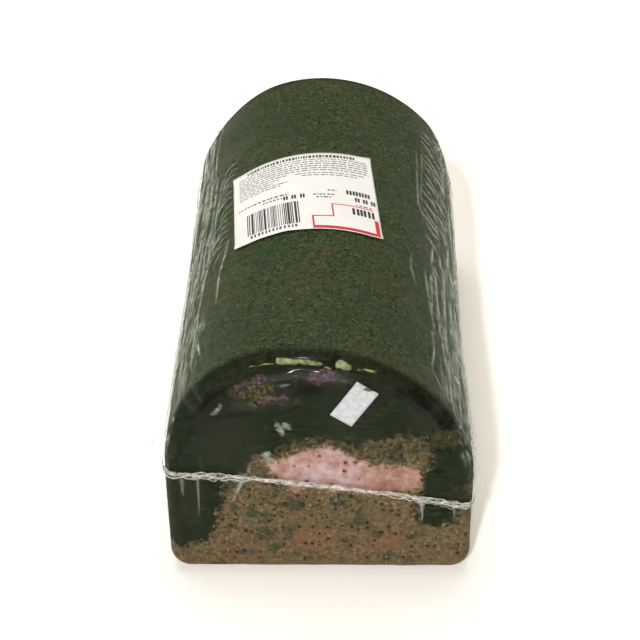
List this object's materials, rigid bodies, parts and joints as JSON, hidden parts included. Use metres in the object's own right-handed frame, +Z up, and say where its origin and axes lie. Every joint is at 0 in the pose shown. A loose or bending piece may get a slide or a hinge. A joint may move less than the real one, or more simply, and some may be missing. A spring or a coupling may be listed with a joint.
{
  "type": "parsley ham loaf",
  "caption": "Half-moon parsley ham loaf in clear shrink film, with a crinkled weld across each end, a paper label on the crown and a small blank sticker in front.",
  "frame": {"origin": "middle of the flat base, on the surface the loaf rests on", "axes": "+X across the loaf to the right of someone facing its front, +Y along the loaf from the front face with the sticker to the back face, +Z up"},
  "size_m": [0.1424, 0.254, 0.119],
  "materials": {
    "wrapped_loaf": "dark green chopped parsley under glossy clear film, tan meat at the foot of the end faces",
    "clear_film": "thin clear shrink film, glossy, whitish where it is creased or welded",
    "label_paper": "smooth white label paper"
  },
  "bodies": {
    "root": {"wrapped_loaf": "wrapped_loaf", "label": "label_paper", "sticker": "label_paper"}
  },
  "joints": []
}
